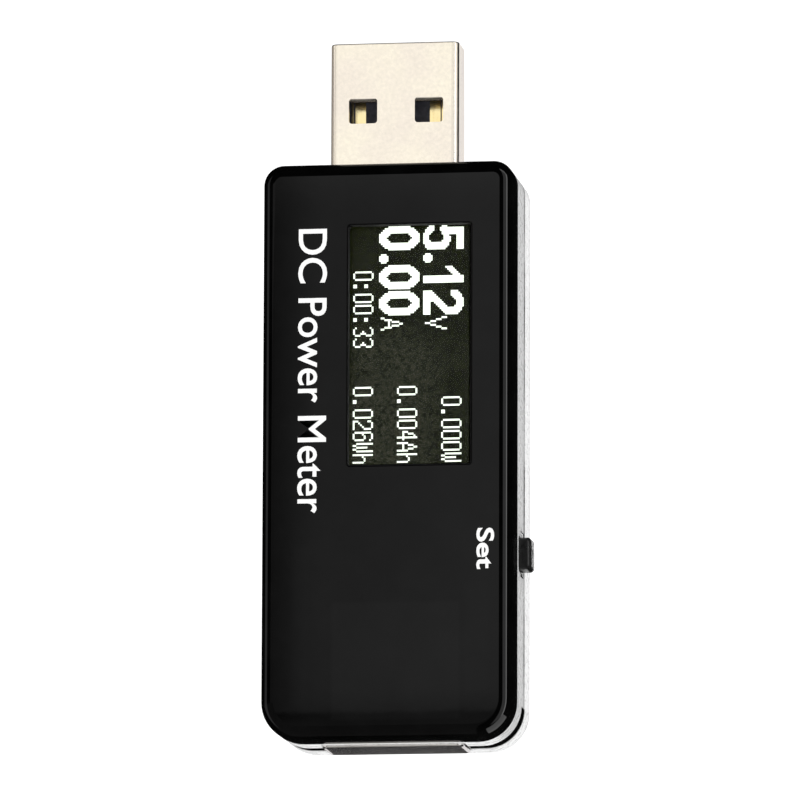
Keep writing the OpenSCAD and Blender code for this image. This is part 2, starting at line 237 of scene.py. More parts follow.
class Paint:
    """A Principled material with helpers for its node chains. Patterns are in millimetres of object space."""

    def __init__(self, name, color, roughness, metallic=0.0, **sockets):
        self.mat = bpy.data.materials.new(name)
        self.mat.use_nodes = True
        self.tree = self.mat.node_tree
        self.shader = self.tree.nodes["Principled BSDF"]
        self.put("Base Color", color)
        self.put("Roughness", roughness)
        self.put("Metallic", metallic)
        for key, value in sockets.items():
            self.put(key.replace("_", " "), value)
        coords = self.tree.nodes.new("ShaderNodeTexCoord")
        self.space = self.mapping(coords.outputs["Object"], (1 / MM,) * 3)

    def put(self, socket, value):
        """Sets a shader socket, or links a node's output to it."""
        if isinstance(value, bpy.types.NodeSocket):
            self.tree.links.new(value, self.shader.inputs[socket])
        elif isinstance(value, (tuple, list)) and len(value) == 3:
            self.shader.inputs[socket].default_value = (*value, 1)
        else:
            self.shader.inputs[socket].default_value = value

    def feed(self, node, socket, value):
        if isinstance(value, bpy.types.NodeSocket):
            self.tree.links.new(value, node.inputs[socket])
        else:
            node.inputs[socket].default_value = value

    def mapping(self, vector, scale):
        node = self.tree.nodes.new("ShaderNodeMapping")
        node.inputs["Scale"].default_value = scale
        self.tree.links.new(vector, node.inputs["Vector"])
        return node.outputs["Vector"]

    def noise(self, scale, detail=3.0, stretch=(1, 1, 1), rough=0.55, warp=0.0):
        node = self.tree.nodes.new("ShaderNodeTexNoise")
        vector = self.space if stretch == (1, 1, 1) else self.mapping(self.space, stretch)
        self.tree.links.new(vector, node.inputs["Vector"])
        settings = {"Scale": scale, "Detail": detail, "Roughness": rough, "Distortion": warp}
        for socket, value in settings.items():
            node.inputs[socket].default_value = value
        return node.outputs["Fac"]

    def cells(self, scale, stretch=(1, 1, 1)):
        node = self.tree.nodes.new("ShaderNodeTexVoronoi")
        self.tree.links.new(self.mapping(self.space, stretch), node.inputs["Vector"])
        node.inputs["Scale"].default_value = scale
        return node.outputs["Distance"]

    def span(self, value, low, high, out_low, out_high, smooth=False):
        """Maps value from one range onto another, held at its ends."""
        node = self.tree.nodes.new("ShaderNodeMapRange")
        if smooth:
            node.interpolation_type = "SMOOTHSTEP"
        for socket, given in (
            ("Value", value),
            ("From Min", low),
            ("From Max", high),
            ("To Min", out_low),
            ("To Max", out_high),
        ):
            self.feed(node, socket, given)
        return node.outputs["Result"]

    def math(self, operation, a, b=0.0):
        node = self.tree.nodes.new("ShaderNodeMath")
        node.operation = operation
        self.feed(node, 0, a)
        self.feed(node, 1, b)
        return node.outputs["Value"]

    def axis(self, name):
        node = self.tree.nodes.new("ShaderNodeSeparateXYZ")
        self.tree.links.new(self.space, node.inputs["Vector"])
        return node.outputs[name]

    def ramp(self, value, *stops):
        node = self.tree.nodes.new("ShaderNodeValToRGB")
        self.tree.links.new(value, node.inputs["Fac"])
        ramp = node.color_ramp
        while len(ramp.elements) < len(stops):
            ramp.elements.new(0.5)
        for element, (place, color) in zip(ramp.elements, stops):
            element.position = place
            element.color = (*color, 1)
        return node.outputs["Color"]

    def blend(self, factor, a, b):
        node = self.tree.nodes.new("ShaderNodeMix")
        node.data_type = "RGBA"
        for socket, value in ((0, factor), (6, a), (7, b)):
            self.feed(node, socket, (*value, 1) if isinstance(value, tuple) else value)
        return node.outputs[2]

    def bump(self, *layers):
        """Layers are (height, strength, distance in millimetres)."""
        normal = None
        for height, strength, distance in layers:
            node = self.tree.nodes.new("ShaderNodeBump")
            node.inputs["Strength"].default_value = strength
            node.inputs["Distance"].default_value = distance * MM
            self.tree.links.new(height, node.inputs["Height"])
            if normal is not None:
                self.tree.links.new(normal, node.inputs["Normal"])
            normal = node.outputs["Normal"]
        self.tree.links.new(normal, self.shader.inputs["Normal"])

    def inside(self, x, y, soft):
        """1 within a rectangle of the XY plane, fading to 0 over soft millimetres."""
        masks = []
        for axis, (low, high) in (("X", x), ("Y", y)):
            at = self.axis(axis)
            masks.append(self.span(at, low - soft, low + soft, 0, 1, True))
            masks.append(self.span(at, high - soft, high + soft, 1, 0, True))
        out = masks[0]
        for mask in masks[1:]:
            out = self.math("MULTIPLY", out, mask)
        return out


def piano_black():
    """Polished smoked black plastic with faint shapes of what lies under it."""
    p = Paint("cover_black", (0.0008, 0.0008, 0.0009), 0.012, IOR=1.45)
    port_shadow = p.inside((-5.0, 6.8), (-25.0, -14.2), 0.25)
    strip = p.inside((-8.6, -7.2), (-24.0, -9.0), 0.4)
    board_shadow = p.inside((7.2, 9.4), (-22.5, -12.5), 0.3)
    shapes = p.math("ADD", p.math("MULTIPLY", port_shadow, 0.5), p.math("MULTIPLY", strip, 0.25))
    shapes = p.math("ADD", shapes, p.math("MULTIPLY", board_shadow, 0.2))
    cloud = p.span(p.noise(0.35, 4), 0.35, 0.65, 0.0, 0.3)
    p.put("Base Color", p.ramp(p.math("ADD", shapes, cloud), (0, (0.0005,) * 3), (1, (0.0034,) * 3)))
    p.put("Roughness", p.span(p.noise(0.25, 4, warp=1.2), 0.45, 0.75, 0.006, 0.016))
    p.bump((p.noise(0.3, 2), 0.0016, 0.15), (p.noise(1.6, 2), 0.0006, 0.05))
    return p.mat


def window_clear():
    """Clear pane with a slight smoke tint."""
    p = Paint("window_clear", (0.93, 0.95, 0.92), 0.02, IOR=1.1, Transmission_Weight=1.0)
    p.put("Roughness", p.span(p.noise(0.5, 4), 0.4, 0.8, 0.01, 0.035))
    p.bump((p.noise(0.6, 2), 0.015, 0.1))
    return p.mat


def shell_white(name, low, high, painted_shade_bands=(), end=None):
    """Glossy white ABS with streaks along the mould's pull. Painted shade bands darken level bands on the
    button's side, in dashes: (height, half width, tone).

    The port end takes the tone given as end, which is painted light on the end face.
    """
    p = Paint(name, high, 0.28, IOR=1.5)
    color = p.ramp(p.noise(0.8, 4, (1, 0.06, 2.6), warp=0.2), (0.35, low), (0.65, high))
    along = p.span(p.noise(0.11, 2, (0.05, 1, 0.05)), 0.3, 0.62, 0.35, 1.0)
    along = p.math("MULTIPLY", along, p.span(p.axis("X"), HALF_W - 1.2, HALF_W - 0.2, 0, 1, True))
    # painted shade: each band darkens the colour at its height, broken into dashes along the button's side
    for level, reach, tone in painted_shade_bands:
        off = p.math("ABSOLUTE", p.math("SUBTRACT", p.axis("Z"), level))
        mark = p.span(off, reach * 0.6, reach, 1, 0, True)
        color = p.blend(p.math("MULTIPLY", mark, along), color, (tone,) * 3)
    # painted light: the port end face takes the lighter end tone
    if end is not None:
        near = p.span(p.axis("Y"), -HALF_L, -HALF_L + 0.9, 1, 0, True)
        color = p.blend(near, color, (end,) * 3)
    p.put("Base Color", color)
    p.put("Roughness", p.span(p.noise(1.7, 4), 0.3, 0.75, 0.2, 0.42))
    p.bump((p.noise(9, 3), 0.05, 0.02), (p.noise(0.8, 3, (1, 0.3, 1)), 0.05, 0.06))
    return p.mat


def soft_black(name, tone, roughness, grain, blue=1.0, **sockets):
    """Matt or satin black moulding: button, insulators, foam and chip bodies."""
    p = Paint(name, (tone,) * 3, roughness, **sockets)
    deep, worn = tone * 0.7, tone * 1.5
    tints = ((0.3, (deep, deep, deep * blue)), (0.75, (worn, worn, worn * blue)))
    p.put("Base Color", p.ramp(p.noise(grain, 4), *tints))
    p.put("Roughness", p.span(p.noise(grain * 0.6, 3), 0.3, 0.7, roughness - 0.08, roughness + 0.12))
    p.bump((p.noise(grain * 2.5, 3), 0.06, 0.012))
    return p.mat


def plate(name, low, high, roughness, brushed=(1, 1, 1), scale=1.5, metallic=1.0):
    """Plated metal: tone that wanders between two tints, rubbed streaks and tiny pits."""
    p = Paint(name, high, roughness, metallic)
    tint = p.noise(scale * 0.12, 4, warp=0.4, rough=0.45)
    p.put("Base Color", p.ramp(tint, (0.35, low), (0.65, high)))
    streak = p.noise(scale * 2, 4, brushed)
    p.put("Roughness", p.span(streak, 0.3, 0.75, roughness * 0.85, roughness * 1.25))
    p.bump((p.noise(scale * 6, 3, brushed), 0.01, 0.01), (p.cells(3.5), 0.006, 0.008))
    return p.mat


def board_green():
    """Solder mask over copper tracks, with the weave of the laminate."""
    p = Paint("board_green", (0.01, 0.09, 0.03), 0.35, Coat_Weight=0.4)
    tracks = p.span(p.cells(0.55, (1, 1, 0.01)), 0.32, 0.36, 0, 1)
    p.put("Base Color", p.blend(tracks, (0.008, 0.075, 0.028), (0.018, 0.13, 0.045)))
    p.put("Roughness", p.span(p.noise(2, 3), 0.3, 0.7, 0.28, 0.45))
    p.bump((tracks, 0.3, 0.02), (p.noise(12, 2), 0.05, 0.01))
    return p.mat


def panel_face():
    """Face of the display between the lit dots: grainy dark olive, with painted light as its emission, a
    greyer glow in its middle, in place of light falling on the panel through the pane.
    """
    p = Paint("panel_face", (0.002, 0.0022, 0.0015), 0.35, IOR=1.2)
    grain = p.noise(4.2, 4, rough=0.8)
    cloud = p.noise(0.3, 3, warp=0.8)
    # painted light: a patch in the middle glows greyer, the rest glows a darker olive
    painted_light_patch = p.math("ADD", p.inside((-4.2, 4.4), (-2.5, 11.0), 2.8), p.span(cloud, 0.35, 0.65, -0.25, 0.25))
    edge = p.ramp(grain, (0.44, (0.0, 0.0, 0.0)), (0.56, (0.0082, 0.0108, 0.0008)))
    glow = p.ramp(grain, (0.44, (0.002, 0.004, 0.0)), (0.56, (0.034, 0.0345, 0.022)))
    p.put("Emission Color", p.blend(p.span(painted_light_patch, 0, 1, 0, 1), edge, glow))
    p.put("Emission Strength", 1.0)
    p.put("Roughness", p.span(grain, 0.3, 0.7, 0.28, 0.45))
    p.bump((grain, 0.04, 0.01))
    return p.mat


def pixel_light():
    """Lit dots: cool white with a little drift from dot to dot."""
    p = Paint("pixel_light", (0.6, 0.62, 0.58), 0.4)
    drift = p.noise(1.4, 2)
    p.put("Emission Color", p.ramp(drift, (0.3, (0.86, 0.92, 0.82)), (0.7, (0.97, 1.0, 0.95))))
    p.put("Emission Strength", 1.15)
    return p.mat


def ink_white():
    """Pad-printed ink, slightly uneven at its edge and in its gloss."""
    p = Paint("ink_white", (0.88, 0.88, 0.87), 0.5)
    p.put("Base Color", p.ramp(p.noise(3.5, 4), (0.25, (0.80, 0.80, 0.79)), (0.6, (0.92, 0.92, 0.91))))
    p.put("Roughness", p.span(p.noise(6, 3), 0.3, 0.7, 0.42, 0.62))
    p.bump((p.noise(14, 2), 0.1, 0.006))
    return p.mat


def plain(name, low, high, roughness, scale=2.0, **sockets):
    """Fired, moulded or rolled stock whose tone and roughness wander."""
    p = Paint(name, high, roughness, **sockets)
    p.put("Base Color", p.ramp(p.noise(scale, 4), (0.3, low), (0.7, high)))
    p.put("Roughness", p.span(p.noise(scale * 1.7, 3), 0.3, 0.7, roughness - 0.08, roughness + 0.1))
    p.bump((p.noise(scale * 4, 3), 0.08, 0.01))
    return p.mat


BLACK = piano_black()
CLEAR = window_clear()
# Lit and shaded copies of one white plastic: the upper shell's darker tone is painted shade under the black
# cover's edge, and its port end is painted lighter. Both carry painted shade bands at the seam, and the lower
# shell a painted contact shadow along its rear edge.
WHITE_UPPER_SHADED = shell_white("shell_white", (0.575,) * 3, (0.635,) * 3, [(SEAM_LOW + 0.2, 0.15, 0.2)], 0.9)
WHITE_LOWER = shell_white(
    "shell_white_lower", (0.91,) * 3, (0.95,) * 3, [(SEAM_LOW - 0.22, 0.32, 0.06), (REAR_R, 0.22, 0.2)]
)
RUBBER = soft_black("key_black", 0.007, 0.3, 3.0)
NYLON = soft_black("insulator_black", 0.05, 0.48, 2.4, blue=1.3)
FOAM = soft_black("foam_black", 0.012, 0.85, 5.0)
CHIP = soft_black("chip_black", 0.022, 0.5, 4.0)
EAR = soft_black("ear_black", 0.004, 0.85, 5.0, IOR=1.02)
NICKEL = plate("plug_plate", (0.84, 0.775, 0.70), (0.90, 0.845, 0.73), 0.2)
PORT_PLATE = plate("port_plate", (0.68, 0.67, 0.66), (0.78, 0.77, 0.76), 0.14, metallic=0.97)
GOLD = plate("contact_gold", (0.93, 0.74, 0.36), (0.98, 0.86, 0.52), 0.2, (1, 0.2, 1), 3.0)
TIN = plate("lead_tin", (0.6, 0.6, 0.6), (0.74, 0.74, 0.73), 0.32, scale=3.0)
STEEL = plate("can_steel", (0.55, 0.54, 0.52), (0.68, 0.67, 0.65), 0.28, (0.2, 1, 1), 2.0)
DOME = plate("dome_steel", (0.6, 0.58, 0.52), (0.72, 0.7, 0.62), 0.3, scale=4.0)
GREEN = board_green()
# the display face glows with painted light
PANEL_PAINTED_GLOW = panel_face()
PANEL_GLASS = plain("panel_glass", (0.02, 0.024, 0.02), (0.05, 0.055, 0.045), 0.16, 0.8, Coat_Weight=0.5)
AMBER = plain("flex_amber", (0.42, 0.16, 0.02), (0.6, 0.27, 0.05), 0.35, 1.5)
ADHESIVE = plain("adhesive_white", (0.62, 0.6, 0.55), (0.75, 0.74, 0.7), 0.7, 3.0)
CERAMIC = plain("capacitor_tan", (0.32, 0.2, 0.11), (0.46, 0.31, 0.19), 0.45, 3.0)
TANTALUM = plain("tantalum_yellow", (0.5, 0.3, 0.05), (0.66, 0.43, 0.1), 0.42, 2.0)
ACETAL = plain("plunger_white", (0.7, 0.69, 0.66), (0.82, 0.81, 0.78), 0.4, 2.5)
SOLDER = plate("solder", (0.6, 0.61, 0.62), (0.78, 0.79, 0.8), 0.22, scale=4.0)


# ---- housing ----


def plug_hole(clear=0.1):
    """Cutter for the plug's way through the end wall, with the housing's own clearance."""
    bm = bmesh.new()
    ring = outline(PLUG_HALF[0] + clear, PLUG_HALF[1] + clear, 0.55, steps=5, at=(0, PLUG_Z))
    add_prism(bm, ring, HALF_L - 3, HALF_L + 1, "y")
    return bm


def port_hole(clear=0.1):
    bm = bmesh.new()
    ring = outline(PORT_HALF[0] + clear, PORT_HALF[1] + clear, 0.65, steps=5, at=(0, PORT_Z))
    add_prism(bm, ring, -HALF_L - 1, -HALF_L + 3, "y")
    return bm


def slot_block(z):
    """Cutter for the slot that runs round the port end."""
    bm = bmesh.new()
    add_box(bm, (-HALF_W - 1, HALF_W + 1), (-HALF_L - 1, SLOT_Y), z)
    return bm


def end_block(margin):
    """The port end as far as the slot reaches along the sides, and a margin more."""
    bm = bmesh.new()
    add_box(bm, (-HALF_W - 1, HALF_W + 1), (-HALF_L - 1, SLOT_Y + margin), (-1, TOP_Z + 1))
    return bm


def band(name, insets, z):
    """Loop that follows the walls, between two insets and two heights."""
    rings = [plan(insets[0], z[0]), plan(insets[0], z[1]), plan(insets[1], z[1]), plan(insets[1], z[0])]
    return object_from(loft(bmesh.new(), rings, closed=True), name)


def front_cover():
    """Glossy cover: one shell whose skin turns over at the window and comes back inside."""
    half_win = ((PANE[1].x - PANE[0].x) / 2 + 0.03, (PANE[1].y - PANE[0].y) / 2 + 0.03)

    def opening(inset, z):
        return [(x, y, z) for x, y in outline(*half_win, 0.3, inset=inset, steps=12, at=WINDOW_AT)]

    rings = [plan(0.05, COVER_Z), plan(0.015, COVER_Z + 0.015), plan(0, COVER_Z + 0.05)]
    rings += [plan(inset, TOP_Z - COVER_R + rise) for inset, rise in bend(COVER_R, 16)]
    rings += [plan(COVER_R + 0.05, TOP_Z), opening(-0.1, TOP_Z)]
    rings += [opening(-0.03, TOP_Z), opening(-0.009, TOP_Z - 0.009), opening(0, TOP_Z - 0.03)]
    rings += [opening(0, PANE[0].z), plan(COVER_WALL, PANE[0].z), plan(COVER_WALL, COVER_Z)]
    obj = object_from(loft(bmesh.new(), rings, closed=True), "cover_shell")
    lip = band("lip", (1.15, 1.7), (COVER_Z - 0.7, COVER_Z + 0.5))
    boolean(lip, end_block(0.4))
    room = bmesh.new()
    add_box(room, (-PLUG_HALF[0] - 0.1, PLUG_HALF[0] + 0.1), (HALF_L - 3, HALF_L), (0, COVER_Z + 1))
    boolean(lip, room)
    # skirt inside the port end, with a rib that fills the slot nearly flush
    skirt = band("skirt", (1.15, 1.7), (SLOT_Z[0] - 0.5, COVER_Z + 0.5))
    boolean(skirt, end_block(0.4), "INTERSECT")
    rib = band("rib", (0.05, 1.35), (SLOT_Z[0] + 0.03, SLOT_Z[1] - 0.03))
    boolean(rib, end_block(-0.03), "INTERSECT")
    join(skirt, rib)
    boolean(skirt, port_hole())
    join(obj, skirt)
    join(obj, lip)
    return dress(obj, BLACK, "housing", "cover_black", "front_cover")


def display_window():
    half = ((PANE[1].x - PANE[0].x) / 2, (PANE[1].y - PANE[0].y) / 2)

    def ring(inset, z):
        return [(x, y, z) for x, y in outline(*half, 0.27, inset=inset, steps=8, at=WINDOW_AT)]

    rings = [ring(0.02, PANE[0].z), ring(0, PANE[0].z + 0.02), ring(0, PANE[1].z - 0.03)]
    rings += [ring(0.009, PANE[1].z - 0.009), ring(0.03, PANE[1].z)]
    bm = loft(bmesh.new(), rings, first=True, last=True)
    obj = dress(object_from(bm, "window_pane"), CLEAR, "housing", "window_clear", "display_window")
    # blackened sides, so that they don't mirror the display
    obj.data.materials.append(FOAM)
    for face in obj.data.polygons:
        face.material_index = 1 if abs(face.normal.z) < 0.95 else 0
    return obj


def upper_housing():
    low, high = UPPER[0].z, UPPER[1].z
    edge = 0.07
    rings = [plan(inset, low + edge - rise) for inset, rise in reversed(bend(edge, 3))]
    rings += [plan(inset, high - edge + rise) for inset, rise in bend(edge, 3)]
    rings += [plan(WALL, high), plan(WALL, low)]
    obj = object_from(loft(bmesh.new(), rings, closed=True), "upper_shell")
    boolean(obj, plug_hole())
    boolean(obj, port_hole())
    boolean(obj, slot_block((0, SLOT_Z[1])))
    key = bmesh.new()
    ring = outline(KEY_HALF[0] + 0.12, KEY_HALF[1] + 0.12, 0.5, steps=5, at=(KEY_MID.y, KEY_MID.z))
    add_prism(key, ring, HALF_W - WALL - 1, HALF_W + 1, "x")
    boolean(obj, key)
    notch = bmesh.new()
    y = (KEY_MID.y - KEY_HALF[0] - EAR_L[0] - 0.07, KEY_MID.y + KEY_HALF[0] + EAR_L[1] + 0.07)
    add_box(notch, (HALF_W - WALL - 1, HALF_W + 1), y, (0, EAR_TOP + 0.08))
    boolean(obj, notch)
    soften(obj, 0.05)
    return dress(obj, WHITE_UPPER_SHADED, "housing", "shell_white", "upper_housing")


def lower_housing():
    edge = 0.07
    rings = [plan(inset, REAR_R - rise) for inset, rise in reversed(bend(REAR_R, 10))]
    rings += [plan(inset, SEAM_LOW - edge + rise) for inset, rise in bend(edge, 3)]
    rings += [plan(WALL, SEAM_LOW), plan(WALL, REAR_WALL)]
    obj = object_from(loft(bmesh.new(), rings, first=True, last=True), "lower_shell")
    # lip inside the seam, with room for the plug, the port end and the button
    outer, face, inner = WALL - 0.1, WALL + 0.05, WALL + 0.55
    root, step, top = SEAM_LOW - 1, SEAM_LOW - 0.1, SEAM_LOW + 0.9
    profile = ((outer, root), (outer, step), (face, step), (face, top), (inner, top), (inner, root))
    lip = object_from(loft(bmesh.new(), [plan(*p) for p in profile], closed=True), "lip")
    room = bmesh.new()
    add_box(room, (-HALF_W, HALF_W), (-HALF_L - 1, SLOT_Y + 0.6), (0, TOP_Z))
    add_box(room, (-PLUG_HALF[0] - 0.3, PLUG_HALF[0] + 0.3), (HALF_L - 3, HALF_L), (0, TOP_Z))
    add_box(room, (0, HALF_W), (KEY_MID.y - 3.2, KEY_MID.y + 3.2), (0, TOP_Z))
    boolean(lip, room)
    join(obj, lip)
    # bosses with locating pins, and ribs under the plug and the port
    floor_z, board = REAR_WALL - 0.2, BOARD[0].z
    profile = ((1.25, floor_z), (1.25, board), (0.6, board), (0.6, board + 0.9), (0.5, board + 1))
    turns = [math.radians(360 * i / 32) for i in range(32)]
    for x, y in BOSSES:
        rings = [[(x + r * math.cos(a), y + r * math.sin(a), z) for a in turns] for r, z in profile]
        boolean(obj, loft(bmesh.new(), rings, first=True, last=True), "UNION")
    ribs = bmesh.new()
    for x in RIBS_X:
        across = (x - 0.5, x + 0.5)
        add_box(ribs, across, (21, HALF_L - WALL + 0.1), (floor_z, PLUG_Z - PLUG_HALF[1]))
        add_box(ribs, across, (-24.8, -15), (floor_z, PORT_Z - PORT_HALF[1]))
    boolean(obj, ribs, "UNION")
    boolean(obj, plug_hole())
    boolean(obj, port_hole())
    boolean(obj, slot_block((SLOT_Z[0], TOP_Z + 1)))
    soften(obj, 0.05)
    return dress(obj, WHITE_LOWER, "housing", "shell_white", "lower_housing")


def key_button():
    """Cap with a rounded, slightly crowned end, ears beside it and a flange that holds it in."""
    crown = (0.09, 0.03)
    end_r = 0.36
    face_x = KEY[1].x - 0.04

    def ring(inset, x, crowned=True):
        points = []
        for a, b in outline(*KEY_HALF, 0.5, inset=inset, steps=6, at=(KEY_MID.y, KEY_MID.z)):
            down = ((b - KEY_MID.z) / KEY_HALF[1]) ** 2
            along = ((a - KEY_MID.y) / KEY_HALF[0]) ** 2
            lift = crown[0] * (1 - down) + crown[1] * (1 - along) if crowned else 0
            points.append((x + lift, a, b))
        return points

    rings = [ring(0, KEY[0].x + 0.1, False), ring(0, face_x - end_r)]
    rings += [ring(inset, face_x - end_r + rise) for inset, rise in bend(end_r, 8)][1:]
    rings += [ring(end_r + (min(KEY_HALF) - 0.1 - end_r) * i / 7, face_x) for i in range(1, 8)]
    obj = object_from(loft(bmesh.new(), rings, first=True, last=True), "button_cap")
    more = bmesh.new()
    add_box(more, (KEY[0].x, KEY[0].x + 0.6), (KEY_MID.y - 2.9, KEY_MID.y + 2.9), (4.8, 8.3))
    boolean(obj, more, "UNION")
    ears = bmesh.new()
    low_y, high_y = KEY_MID.y - KEY_HALF[0], KEY_MID.y + KEY_HALF[0]
    z = (SEAM_LOW + 0.17, EAR_TOP)
    wedge = [(low_y - EAR_L[0], z[0]), (high_y + EAR_L[1], z[0]), (high_y + EAR_L[1], z[1])]
    wedge += [(low_y + 0.1, z[1])]
    add_prism(ears, wedge, KEY[0].x + 0.5, HALF_W - 0.05, "x")
    boolean(obj, ears, "UNION")
    obj = dress(obj, RUBBER, "key", "key_black", "key_button")
    # the ears keep the mould's matt skin
    obj.data.materials.append(EAR)
    for face in obj.data.polygons:
        face.material_index = 1 if abs(face.center.y / MM - KEY_MID.y) > KEY_HALF[0] + 0.02 else 0
    return obj


# ---- plug and port ----


def tube(half, middle_z, r, y_back, y_tip, lip_r, tip_sign):
    """Folded sheet tube along Y with a rolled tip, as rings from the outside round to the inside."""
    def ring(inset, y):
        flat = outline(*half, r, inset=inset, steps=8, at=(0, middle_z))
        return [(a, y, b) for a, b in flat]

    rings = [ring(0, y_back), ring(0, y_tip - tip_sign * lip_r)]
    rings += [ring(inset, y_tip - tip_sign * (lip_r - rise)) for inset, rise in bend(lip_r, 5)][1:]
    rings += [ring(SHEET_T, y_tip - tip_sign * 0.06), ring(SHEET_T, y_back)]
    return loft(bmesh.new(), rings, closed=True)


def plug_jacket():
    obj = object_from(tube(PLUG_HALF, PLUG_Z, 0.68, PLUG[0].y, PLUG[1].y, 0.16, 1), "plug_jacket")
    for x in LATCH_X:
        hole = bmesh.new()
        ring = outline(*LATCH_HALF, 0.3, steps=6, at=(x, LATCH_Y))
        add_prism(hole, ring, PLUG_Z - PLUG_HALF[1] - 1, PLUG_Z + PLUG_HALF[1] + 1, "z")
        boolean(obj, hole)
    # the sheet is drawn in at the windows' edges nearest the tip
    start_y = LATCH_Y + LATCH_HALF[1] + 0.05
    outer_r, inner_r = 0.42, 0.2
    turn = [math.radians(15 * i) for i in range(6)]
    for x in LATCH_X:
        for sign in (-1, 1):
            level = PLUG_Z + sign * PLUG_HALF[1]
            outer = [
                (start_y - outer_r * math.sin(a), level - sign * outer_r * (1 - math.cos(a)))
                for a in turn
            ]
            inner = [
                (start_y - inner_r * math.sin(a), level - sign * (outer_r - inner_r * math.cos(a)))
                for a in turn
            ]
            curl = bmesh.new()
            add_prism(curl, outer + inner[::-1], x - 1.2, x + 1.2, "x")
            boolean(obj, curl, "UNION")
    seam = bmesh.new()
    add_box(seam, (-0.04, 0.04), (PLUG[0].y - 1, PLUG[1].y + 1), (PLUG_Z - PLUG_HALF[1] - 1, PLUG_Z - 1))
    boolean(obj, seam)
    legs = bmesh.new()
    for side in (-1, 1):
        x = sorted((side * PLUG_HALF[0], side * (PLUG_HALF[0] - SHEET_T)))
        add_box(legs, x, (23.9, 24.9), (PLUG_Z + 1, BOARD[1].z + 0.5))
    boolean(obj, legs, "UNION")
    soften(obj, 0.06, 3)
    return dress(obj, NICKEL, "housing", "plug_plate", "plug_shell")


def receptacle_jacket():
    obj = object_from(tube(PORT_HALF, PORT_Z, 0.6, PORT[1].y, PORT[0].y, 0.22, -1), "port_jacket")
    slits = bmesh.new()
    slit = 0.15
    for x in (-3.2, 3.2):
        for z in (-1, 1):
            level = PORT_Z + z * PORT_HALF[1]
            for side in (-1, 1):
                mid = x + side * 1.1
                add_box(slits, (mid - slit, mid + slit), (-24.75, -19.25), (level - 0.5, level + 0.5))
            add_box(slits, (x - 1.1, x + 1.1), (-24.75, -24.45), (level - 0.5, level + 0.5))
    boolean(obj, slits)
    legs = bmesh.new()
    for side in (-1, 1):
        x = sorted((side * PORT_HALF[0], side * (PORT_HALF[0] - SHEET_T)))
        add_box(legs, x, (-18.95, -17.55), (PORT_Z + 1, BOARD[1].z + 0.5))
    boolean(obj, legs, "UNION")
    soften(obj, 0.05, 2)
    return dress(obj, PORT_PLATE, "housing", "port_plate", "receptacle_shell")


def plug_contacts():
    """Four bent strips with a scored line along them, and narrow guard rails beside the outer two."""
    low, high = PLUG_STRIPS[0].z, PLUG_STRIPS[0].z + CONTACT_T
    foot, leg, tip = PLUG_STRIPS[0].y, PLUG_STRIPS[0].y + 1.15, PLUG_STRIPS[1].y
    board = PLUG_STRIPS[1].z

    def profile(top):
        return [
            (leg, low), (tip, low), (tip, top), (leg + CONTACT_T, top),
            (leg + CONTACT_T, board), (foot, board), (foot, board - CONTACT_T), (leg, board - CONTACT_T),
        ]

    bm = bmesh.new()
    for x in CONTACT_X:
        score = x - 0.17 if x > 0 else x + 0.02
        add_prism(bm, profile(high), x - 0.5, score, "x")
        add_prism(bm, profile(high - 0.06), score, score + 0.07, "x")
        add_prism(bm, profile(high), score + 0.07, x + 0.5, "x")
        if abs(x) > 2:
            rail = sorted((x + math.copysign(0.62, x), x + math.copysign(0.86, x)))
            add_box(bm, rail, (leg + 3, tip), (low, high + 0.05))
    return dress(object_from(bm, "plug_strips"), GOLD, "housing", "contact_gold", "plug_contacts")


def connectors():
    plug_jacket()
    receptacle_jacket()
    plug_contacts()


# ---- display ----

SMALL = {
    "0": [".###."] + ["#...#"] * 9 + [".###."],
    "2": [".###.", "#...#", "#...#", "....#", "....#", "...#.", "..#..", ".#..."]
    + ["#...."] * 2
    + ["#####"],
    "3": [".###.", "#...#"]
    + ["....#"] * 2
    + ["...#.", "..##.", "...#."]
    + ["....#"] * 2
    + ["#...#", ".###."],
    "4": ["...#.", "..##."] + [".#.#."] * 3 + ["#..#."] * 2 + ["#####"] + ["...#."] * 3,
    "6": [".###.", "#...#"] + ["#...."] * 2 + ["#.##.", "##..#"] + ["#...#"] * 4 + [".###."],
    "A": ["..#.."] * 2 + [".#.#."] * 3 + ["#...#"] * 2 + ["#####"] + ["#...#"] * 3,
    "W": ["#...#"] * 3 + ["#.#.#"] * 6 + [".#.#."] * 2,
    "h": ["#...."] * 4 + ["#.##.", "##..#"] + ["#...#"] * 5,
    ".": ["....."] * 9 + [".##.."] * 2,
    ":": ["....."] * 3 + [".##.."] * 2 + ["....."] * 4 + [".##.."] * 2,
}
UNIT = {
    "V": ["#.....#"] * 3 + [".#...#."] * 3 + ["..#.#.."] * 3 + ["...#..."] * 3,
    "A": ["...#..."] * 2
    + ["..#.#.."] * 4
    + [".#...#.", ".#####.", ".#...#.", ".#...#.", "#.....#", "#.....#"],
}
